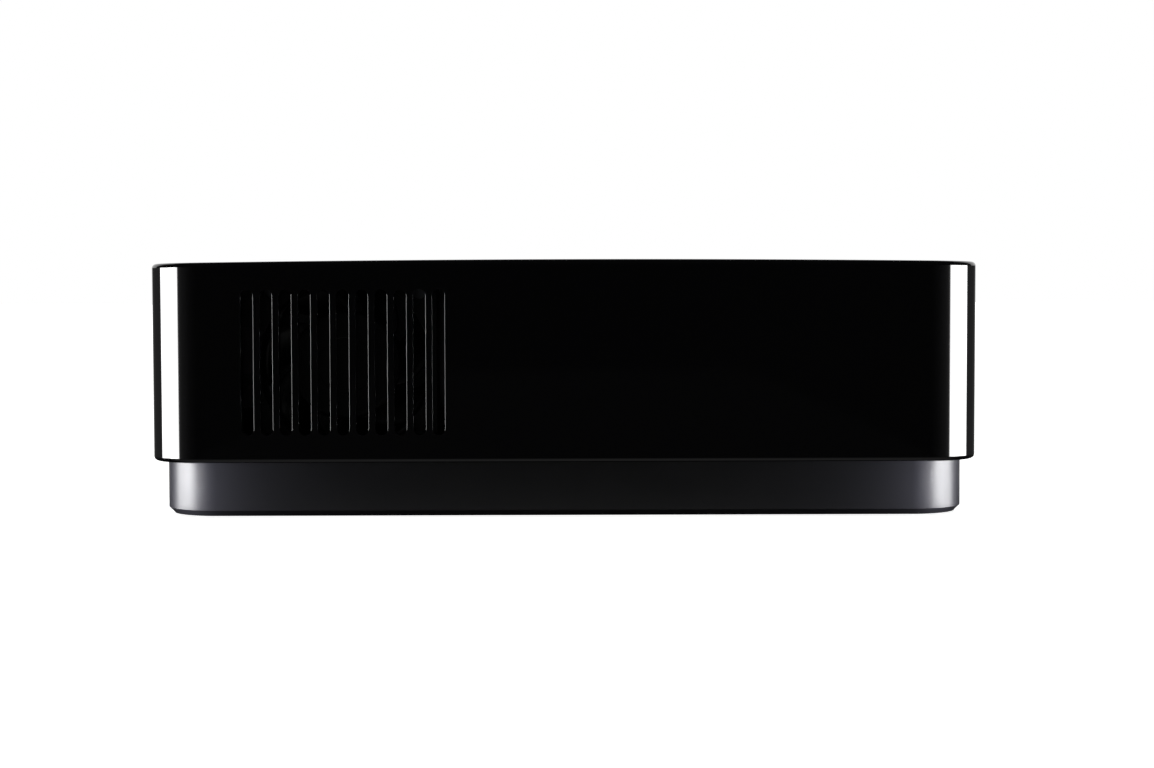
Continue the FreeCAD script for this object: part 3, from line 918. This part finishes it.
# ---------------------------------------------------------------- front column
def make_front_column():
    """The small board behind the front, and what shows through the shell beside the tray."""
    left, right = "column_y - column_board_width / 2", "column_y + column_board_width / 2"
    plate = block("column_plate", ("column_board_x", left, "column_board_low"),
                  ("column_board_front", right, "column_board_high"))
    holes, screws = [], []
    for level in ("column_screw_low", "column_screw_high"):
        holes.append(rod("board_hole_" + level, "X", ("column_board_x - slip", "column_y", level),
                         "small_screw_radius + screw_play", "board_thick + 2 * slip"))
        screws.append(screw("column_screw_" + level, "X", ("column_board_x - small_head_height",
                                                           "column_y", level),
                            "small_screw_radius", "small_screw_length + board_thick - slip",
                            "small_head_radius", "small_head_height"))
    less("front_board", plate, holes)

    switch = block("switch_case", ("column_board_front", "column_y - switch_size / 2",
                   "button_level - switch_size / 2"), ("switch_face", "column_y + switch_size / 2",
                   "button_level + switch_size / 2"))
    well = rod("switch_well", "X", ("switch_face - button_travel - 2 * slip", "column_y", "button_level"),
               "plunger_radius + seat_gap", "button_travel + 3 * slip")
    less("power_switch", switch, [well])
    rod("switch_plunger", "X", ("switch_face - slip", "column_y", "button_level"), "plunger_radius",
        "plunger_height + slip")
    fused("power_button", [
        rod("button_stem", "X", ("switch_face + plunger_height", "column_y", "button_level"),
            "plunger_radius - slip", "button_back - switch_face - plunger_height"),
        rod("button_disc", "X", ("button_back", "column_y", "button_level"), "button_half",
            "button_flange"),
        rod("button_face", "X", ("flange_front", "column_y", "button_level"), "button_radius",
            "end_x - flange_front")])
    pipes, lights = [], []
    for side in SIDES:
        mark = "right" if side > 0 else "left"
        y = f"column_y + {side} * light_span / 2"
        pipes.append(rod("pipe_" + mark, "X", ("column_board_front + light_chip_height + slip", y,
                                               "light_level"),
                         "light_radius", "end_x - column_board_front - light_chip_height - slip"))
        lights.append(block("light_" + mark, ("column_board_front", f"{y} - light_chip_half",
                            "light_level - light_chip_half"), ("column_board_front + light_chip_height",
                            f"{y} + light_chip_half", "light_level + light_chip_half")))
    group("light_pipes", pipes)
    group("status_lights", lights)
    window = [block("ir_pane", ("inner_end", "column_y - ir_width / 2", "ir_level - ir_height / 2"),
                    ("end_x", "column_y + ir_width / 2", "ir_level + ir_height / 2")),
              block("ir_flange", ("inner_end - ir_flange_thick", "column_y - ir_width / 2 - ir_flange_side",
                    "ir_level - ir_half"), ("inner_end", "column_y + ir_width / 2 + ir_flange_side",
                    "ir_level + ir_half"))]
    fused("ir_window", window)
    block("ir_receiver", ("column_board_front", "column_y - ir_case_half",
          "ir_level - ir_case_half_height"), ("column_board_front + ir_case_depth",
          "column_y + ir_case_half", "ir_level + ir_case_half_height"))
    case = block("front_usb_case", ("column_board_front", "column_y - usb_width / 2",
                 "front_usb_level - usb_port_height / 2"), ("end_x - slip", "column_y + usb_width / 2",
                 "front_usb_level + usb_port_height / 2"))
    room = block("front_usb_room", ("column_board_front + usb_back", "column_y - usb_width / 2 + usb_wall",
                 "front_usb_level - usb_port_height / 2 + usb_wall"), ("end_x + slip",
                 "column_y + usb_width / 2 - usb_wall", "front_usb_level + usb_port_height / 2 - usb_wall"))
    less("front_usb_socket", case, [room])

    cable = new_body("front_cable")
    strip = sketch_on(cable, "cable_side_view", "XZ_Plane", "board_front_x", "board_top + cable_exit",
                      "-cable_y")
    reach = value("column_board_x - cable_plug_depth / 2 - board_front_x")
    rise = value("cable_plug_level - board_top - cable_exit")
    bend, thick = value("cable_bend"), value("cable_thick")
    up = FreeCAD.Vector(0, 0, 1)
    corner = FreeCAD.Vector(reach - bend, bend, 0)
    strip.addGeometry(Part.LineSegment(FreeCAD.Vector(0, 0, 0), FreeCAD.Vector(reach - bend, 0, 0)))
    strip.addGeometry(Part.ArcOfCircle(Part.Circle(corner, up, bend), -math.pi / 2, 0))
    strip.addGeometry(Part.LineSegment(FreeCAD.Vector(reach, bend, 0), FreeCAD.Vector(reach, rise, 0)))
    strip.addGeometry(Part.LineSegment(FreeCAD.Vector(reach, rise, 0),
                                       FreeCAD.Vector(reach - thick, rise, 0)))
    strip.addGeometry(Part.LineSegment(FreeCAD.Vector(reach - thick, rise, 0),
                                       FreeCAD.Vector(reach - thick, bend, 0)))
    strip.addGeometry(Part.ArcOfCircle(Part.Circle(corner, up, bend - thick), -math.pi / 2, 0))
    strip.addGeometry(Part.LineSegment(FreeCAD.Vector(reach - bend, thick, 0), FreeCAD.Vector(0, thick, 0)))
    strip.addGeometry(Part.LineSegment(FreeCAD.Vector(0, thick, 0), FreeCAD.Vector(0, 0, 0)))
    for first, end, second, start in ((0, 2, 1, 1), (1, 2, 2, 1), (4, 2, 5, 2), (5, 1, 6, 1)):
        strip.addConstraint(Sketcher.Constraint("Tangent", first, end, second, start))
    for first, second in ((2, 3), (3, 4), (6, 7), (7, 0)):
        strip.addConstraint(Sketcher.Constraint("Coincident", first, 2, second, 1))
    for index in (0, 3):
        strip.addConstraint(Sketcher.Constraint("Horizontal", index))
    strip.addConstraint(Sketcher.Constraint("Vertical", 7))
    strip.addConstraint(Sketcher.Constraint("Coincident", 1, 3, 5, 3))
    strip.addConstraint(Sketcher.Constraint("Coincident", 0, 1, -1, 1))
    constrain(strip, "cable_bend", "Radius", 1)
    constrain(strip, "cable_thick", "DistanceY", 7, 2, 7, 1)
    constrain(strip, "column_board_x - cable_plug_depth / 2 - board_front_x", "DistanceX", 0, 1, 2, 1)
    constrain(strip, "cable_plug_level - board_top - cable_exit", "DistanceY", 0, 1, 2, 2)
    pad(cable, strip, "cable_width").Midplane = True
    return screws


# ---------------------------------------------------------------- drive bay
def make_cage():
    """The folded steel cage, its rails, flanges and ears. Gives back its screws."""
    left, right = "bay_y - cage_outer", "bay_y + cage_outer"
    sheets = [block("cage_sheet", ("cage_floor_rear_x", left, "cage_level"),
                    ("cage_front_x", right, "cage_floor"))]
    holes, screws = [], []
    for side in SIDES:
        mark = "right" if side > 0 else "left"
        outer, inner = f"bay_y + {side} * cage_outer", f"bay_y + {side} * cage_inner"
        rail, flange = f"{inner} - {side} * rail_reach", f"{inner} - {side} * cage_flange"
        ear = f"{outer} + {side} * cage_ear"
        span = (inner, outer) if side > 0 else (outer, inner)
        sheets.append(block("cage_side_" + mark, ("backplane_front", span[0], "cage_level"),
                            ("cage_front_x", span[1], "cage_top")))
        span = (rail, inner) if side > 0 else (inner, rail)
        sheets.append(block("cage_rail_" + mark, ("tray_rear_x", span[0], "rail_low"),
                            ("cage_front_x", span[1], "rail_low + rail_thick")))
        span = (flange, inner) if side > 0 else (inner, flange)
        sheets.append(block("cage_flange_" + mark, ("backplane_front", span[0], "drive_low"),
                            ("backplane_front + cage_thick", span[1], "cage_top")))
        y = f"bay_y + {side} * (cage_inner - cage_flange / 2)"
        holes.append(rod("flange_hole_" + mark, "X", ("backplane_front - slip", y, "backplane_screw_level"),
                         "small_screw_radius", "cage_thick + 2 * slip"))
        screws.append(screw("backplane_screw_" + mark, "X", ("backplane_x - small_head_height", y,
                      "backplane_screw_level"), "small_screw_radius", "small_screw_length - slip",
                      "small_head_radius", "small_head_height"))
        for x in ("board_fix_rear_x", "cage_front_fix_x"):
            span = (outer, ear) if side > 0 else (ear, outer)
            sheets.append(block(f"cage_ear_{mark}_{x}", (f"{x} - cage_ear / 2", span[0], "cage_level"),
                                (f"{x} + cage_ear / 2", span[1], "cage_floor")))
            y_fix = "fix_right_y" if side > 0 else "fix_left_y"
            holes.append(rod(f"ear_hole_{mark}_{x}", "Z", (x, y_fix, "cage_level - slip"),
                             "small_screw_radius + screw_play", "cage_thick + 2 * slip"))
            screws.append(screw(f"cage_screw_{mark}_{x}", "Z", (x, y_fix, "cage_floor + small_head_height"),
                                "small_screw_radius", "small_screw_length", "small_head_radius",
                                "small_head_height", sign=-1))
    less("drive_cage", fused("cage_whole", sheets), holes)
    return screws


def make_backplane():
    """The upright riser board with the socket that the drive plugs into."""
    plate = block("backplane_plate", ("backplane_x", "bay_y - backplane_half", "drive_low"),
                  ("backplane_front", "bay_y + backplane_half", "backplane_top"))
    tongue = block("backplane_tongue", ("backplane_x", "riser_left_y", "riser_bottom"),
                   ("backplane_front", "riser_right_y", "drive_low"))
    holes = [rod("backplane_hole_" + mark, "X", ("backplane_x - slip",
             f"bay_y + {side} * (cage_inner - cage_flange / 2)", "backplane_screw_level"),
             "small_screw_radius + screw_play", "backplane_thick + 2 * slip")
             for side, mark in ((1, "right"), (-1, "left"))]
    less("backplane", fused("backplane_whole", [plate, tongue]), holes)
    slot = block("riser_case", ("backplane_x - riser_slot_wall",
                                "riser_left_y - riser_slot_wall", "board_top"),
                 ("backplane_front + riser_slot_wall",
                  "riser_right_y + riser_slot_wall",
                  "board_top + riser_slot_height"))
    gap = block("riser_gap", ("backplane_x - seat_gap", "riser_left_y - seat_gap",
                              "riser_bottom - seat_gap"),
                ("backplane_front + seat_gap", "riser_right_y + seat_gap",
                 "board_top + riser_slot_height + slip"))
    less("riser_slot", slot, [gap])
    nose = block("socket_nose", ("backplane_front", "plug_y - plug_width / 2 + nose_inset",
                 "plug_mid - nose_half"),
                 ("drive_rear_x + plug_recess - plug_base - slip", "plug_y + plug_width / 2 - nose_inset",
                 "plug_mid + nose_half"))
    slots = []
    for name, low, high in blade_spans():
        slots.append(block("slot_" + name, ("drive_rear_x + plug_recess - plug_base - blade_reach - slip",
                     f"{low} - fine_slip", "plug_mid - blade_thick / 2 - fine_slip"),
                     ("drive_rear_x + plug_recess", f"{high} + fine_slip",
                      "plug_mid + blade_thick / 2 + fine_slip")))
    less("backplane_socket", nose, slots)


def blade_spans():
    """Where the power and data blades of the drive's plug lie across it."""
    start = "plug_y - (power_blade + blade_space + data_blade) / 2"
    return (("power", start, f"{start} + power_blade"),
            ("data", f"{start} + power_blade + blade_space",
             f"{start} + power_blade + blade_space + data_blade"))


# ---------------------------------------------------------------- hard drive
def make_drive():
    """The drive in its tray: casting, cover, board, plug, platters and head arm."""
    left, right = "bay_y - drive_width / 2", "bay_y + drive_width / 2"
    deck = "casting_deck"
    whole = block("casting_block", ("drive_rear_x", left, "drive_low"),
                  ("drive_front_x", right, "casting_top"))
    cuts = [rod("platter_well", "Z", ("platter_x", "bay_y", deck), "platter_radius + platter_play",
                "casting_top - casting_deck + slip"),
            block("arm_bay", ("drive_rear_x + bay_margin", "bay_y - arm_bay_half", deck),
                  ("arm_bay_front_x", "bay_y + arm_bay_half", "casting_top + slip")),
            block("board_recess", ("drive_rear_x + plug_recess", "bay_y - drive_board_half - slip",
                  "drive_low - slip"), ("drive_rear_x + plug_recess + drive_board_length + slip",
                  "bay_y + drive_board_half + slip", "drive_low + drive_board_recess")),
            block("plug_notch", ("drive_rear_x - slip", "plug_y - plug_width / 2", "drive_low - slip"),
                  ("drive_rear_x + plug_recess", "plug_y + plug_width / 2", "drive_low + plug_height"))]
    screws, seats = [], []
    for side in SIDES:
        for index in range(2):
            x = f"drive_rear_x + drive_screw_x + {index} * drive_screw_step"
            y = f"bay_y + {side} * drive_screw_span / 2"
            mark = f"{index}_{'right' if side > 0 else 'left'}"
            cuts.append(rod("drive_hole_" + mark, "Z", (x, y, "drive_low - slip"), "drive_screw_radius",
                            "drive_screw_grip + 2 * slip"))
            screws.append(fused("drive_screw_" + mark, [
                cone("screw_cone_" + mark, (x, y, "tray_low"), "drive_screw_head", "drive_screw_radius",
                     "tray_floor"),
                rod("screw_stem_" + mark, "Z", (x, y, "drive_low"), "drive_screw_radius",
                    "drive_screw_grip")]))
            seats.append(cone("screw_seat_" + mark, (x, y, "tray_low"), "drive_screw_head + seat_gap",
                              "drive_screw_radius + seat_gap", "tray_floor"))
    group("drive_screws", screws)
    hollow = less("casting_hollow", whole, cuts)
    posts = [rod("spindle_post", "Z", ("platter_x", "bay_y", f"{deck} - slip"), "spindle_post",
                 "platter_rise + 2 * (platter_thick + platter_gap) + slip"),
             rod("arm_post", "Z", ("arm_pivot_x", "arm_pivot_y", f"{deck} - slip"), "arm_post",
                 "platter_rise + 2 * (platter_thick + platter_gap) + slip")]
    fused("drive_casting", [hollow] + posts)
    block("drive_cover", ("drive_rear_x", left, "casting_top"), ("drive_front_x", right, "drive_top"))
    block("drive_board", ("drive_rear_x + plug_recess + seat_gap", "bay_y - drive_board_half",
          "drive_low + drive_board_recess - drive_board_thick"),
          ("drive_rear_x + plug_recess + drive_board_length", "bay_y + drive_board_half",
           "drive_low + drive_board_recess"))
    plug = [block("plug_wall", ("drive_rear_x + plug_recess - plug_base",
                                "plug_y - plug_width / 2 + seat_gap",
                  "drive_low + seat_gap"), ("drive_rear_x + plug_recess",
                  "plug_y + plug_width / 2 - seat_gap", "drive_low + plug_height - seat_gap"))]
    for name, low, high in blade_spans():
        plug.append(block("blade_" + name, ("drive_rear_x + plug_recess - plug_base - blade_reach", low,
                    "plug_mid - blade_thick / 2"), ("drive_rear_x + plug_recess - plug_base", high,
                    "plug_mid + blade_thick / 2")))
    fused("drive_plug", plug)

    step, first = "(platter_thick + platter_gap)", "casting_deck + platter_rise"
    discs = [rod("platter_hub", "Z", ("platter_x", "bay_y", "casting_deck + hub_rise"), "spindle_radius",
                 f"platter_rise - hub_rise + platter_count * {step}")]
    for index in range(count("platter_count")):
        discs.append(rod(f"platter_{index}", "Z", ("platter_x", "bay_y", f"{first} + {index} * {step}"),
                         "platter_radius", "platter_thick"))
    hub_bore = rod("hub_bore", "Z", ("platter_x", "bay_y", "casting_deck"), "spindle_post + fan_play",
                   "casting_top - casting_deck")
    less("drive_platters", fused("platter_stack", discs), [hub_bore])

    arm_low = f"{first} - (platter_gap + arm_thick) / 2"
    arms = [rod("arm_hub", "Z", ("arm_pivot_x", "arm_pivot_y", arm_low), "arm_hub",
                f"platter_count * {step} + arm_thick"),
            block("arm_tail", ("arm_pivot_x - arm_tail", "arm_pivot_y - arm_tail_width / 2", arm_low),
                  ("arm_pivot_x", "arm_pivot_y + arm_tail_width / 2", f"{arm_low} + {step} + arm_thick"))]
    for index in range(count("platter_count") + 1):
        low = f"{arm_low} + {index} * {step}"
        arms.append(block(f"arm_{index}", ("arm_pivot_x", "arm_pivot_y - arm_width / 2", low),
                          ("arm_pivot_x + arm_length", "arm_pivot_y + arm_width / 2", f"{low} + arm_thick")))
    arm_bore = rod("arm_bore", "Z", ("arm_pivot_x", "arm_pivot_y", "casting_deck"), "arm_post + fan_play",
                   "casting_top - casting_deck")
    less("drive_head_arm", fused("arm_whole", arms), [arm_bore])
    return seats


# ---------------------------------------------------------------- tray and its front
def make_tray(seats):
    """The tray that carries the drive, with the seats of its countersunk screws."""
    left, right = "bay_y - tray_outer", "bay_y + tray_outer"
    sheets = [block("tray_sheet", ("tray_rear_x", left, "tray_low"), ("tray_face_front", right, "drive_low"))]
    for side in SIDES:
        inner, outer = f"bay_y + {side} * tray_inner", f"bay_y + {side} * tray_outer"
        span = (inner, outer) if side > 0 else (outer, inner)
        sheets.append(block(f"tray_side_{side > 0}", ("tray_rear_x", span[0], "tray_low"),
                            ("tray_face_front", span[1], "tray_side_top")))
    sheets.append(block("tray_face", ("tray_face_x", "bay_y - tray_face_half", "tray_low"),
                        ("tray_face_front", "bay_y + tray_face_half", "tray_face_top")))
    middle = "(tray_rear_x + tray_face_x) / 2"
    window = block("tray_window", (f"{middle} - tray_window_length / 2", "bay_y - tray_window_width / 2",
                   "tray_low - slip"), (f"{middle} + tray_window_length / 2",
                   "bay_y + tray_window_width / 2", "drive_low + slip"))
    holes, screws, bosses, pilots = [], [], [], []
    for side in SIDES:
        y = f"bay_y + {side} * bezel_fix_half"
        mark = "right" if side > 0 else "left"
        holes.append(rod("face_hole_" + mark, "X", ("tray_face_x - slip", y, "bezel_mid"),
                         "small_screw_radius + screw_play", "tray_wall + 2 * slip"))
        screws.append(screw("bezel_screw_" + mark, "X", ("tray_face_x - small_head_height", y, "bezel_mid"),
                            "small_screw_radius", "small_screw_length + tray_wall - slip",
                            "small_head_radius", "small_head_height"))
        bosses.append(rod("bezel_boss_" + mark, "X", ("tray_face_front", y, "bezel_mid"), "bezel_boss",
                          "bezel_back - tray_face_front"))
        pilots.append(rod("bezel_pilot_" + mark, "X", ("tray_face_front - slip", y, "bezel_mid"),
                          "small_screw_radius", "small_screw_length + slip"))
    less("tray", fused("tray_whole", sheets), [window] + holes + seats)
    group("bezel_screws", screws)
    return bosses, pilots


def make_tray_front(bosses, pilots):
    """The gloss bezel with the recess that its folding handle lies in."""
    rim = "(handle_gap + handle_rim)"
    plate = block("bezel_plate", ("bezel_back", "bay_y - bezel_width / 2", "bezel_bottom"),
                  ("end_x", "bay_y + bezel_width / 2", "bezel_top"))
    box = block("bezel_box", ("handle_axis_x - handle_barrel - handle_gap - handle_back",
                "handle_tip - handle_finger - handle_rim", f"handle_low - {rim}"),
                ("bezel_back", f"handle_axis_y + handle_barrel + {rim}", f"handle_high + {rim}"))
    recess = block("handle_recess", ("end_x - handle_thick - handle_space", "handle_tip - handle_finger",
                   "handle_low - handle_gap"), ("end_x + slip", "handle_axis_y", "handle_high + handle_gap"))
    barrel = rod("barrel_recess", "Z", ("handle_axis_x", "handle_axis_y", "handle_low - handle_gap"),
                 "handle_barrel + handle_gap", "handle_height + 2 * handle_gap")
    mouth = block("barrel_mouth", ("handle_axis_x", "handle_axis_y", "handle_low - handle_gap"),
                  ("end_x + slip", "handle_axis_y + handle_barrel + handle_gap", "handle_high + handle_gap"))
    pin_low = "handle_low - handle_gap - pin_seat"
    pin_length = "handle_height + 2 * (handle_gap + pin_seat)"
    pin_hole = rod("pin_hole", "Z", ("handle_axis_x", "handle_axis_y", pin_low), "handle_pin", pin_length)
    less("tray_bezel", fused("bezel_whole", [plate, box] + bosses),
         [recess, barrel, mouth, pin_hole] + pilots)
    rod("handle_pin", "Z", ("handle_axis_x", "handle_axis_y", pin_low), "handle_pin", pin_length)
    slab = block("handle_slab", ("end_x - handle_thick", "handle_tip", "handle_low"),
                 ("end_x", "handle_axis_y", "handle_high"))
    knuckle = rod("handle_knuckle", "Z", ("handle_axis_x", "handle_axis_y", "handle_low"), "handle_barrel",
                  "handle_height")
    bore = rod("handle_bore", "Z", ("handle_axis_x", "handle_axis_y", "handle_low - slip"),
               "handle_pin + handle_play", "handle_height + 2 * slip")
    less("tray_handle", fused("handle_whole", [slab, knuckle]), [bore])


# ---------------------------------------------------------------- the whole
make_top_shell()
make_base()
make_casing_fasteners()
board_screws = make_main_board()
make_headers()
make_casing_sockets()
bracket_screws = make_fan()
column_screws = make_front_column()
cage_screws = make_cage()
make_backplane()
screw_seats = make_drive()
bezel_bosses, bezel_pilots = make_tray(screw_seats)
make_tray_front(bezel_bosses, bezel_pilots)
group("inner_screws", board_screws + bracket_screws + column_screws + cage_screws)

doc.recompute()
failed = [thing.Label for thing in doc.Objects if "Invalid" in thing.State or "Error" in thing.State]
if failed:
    raise RuntimeError("these objects failed: " + ", ".join(failed))

os.makedirs("parts", exist_ok=True)
inner = {child.Name for thing in doc.Objects for child in thing.OutList}
nodes = [thing for thing in doc.Objects if hasattr(thing, "Shape") and thing.Name not in inner
         and not thing.TypeId.startswith(("App::", "Sketcher::"))]
for node in nodes:
    if node.Shape.isNull() or not node.Shape.isValid():
        raise RuntimeError(node.Label + " has no sound shape")
for node in nodes:
    node.Shape.exportStep(f"parts/{node.Label}.step")
print(len(nodes), "nodes:", ", ".join(sorted(node.Label for node in nodes)))
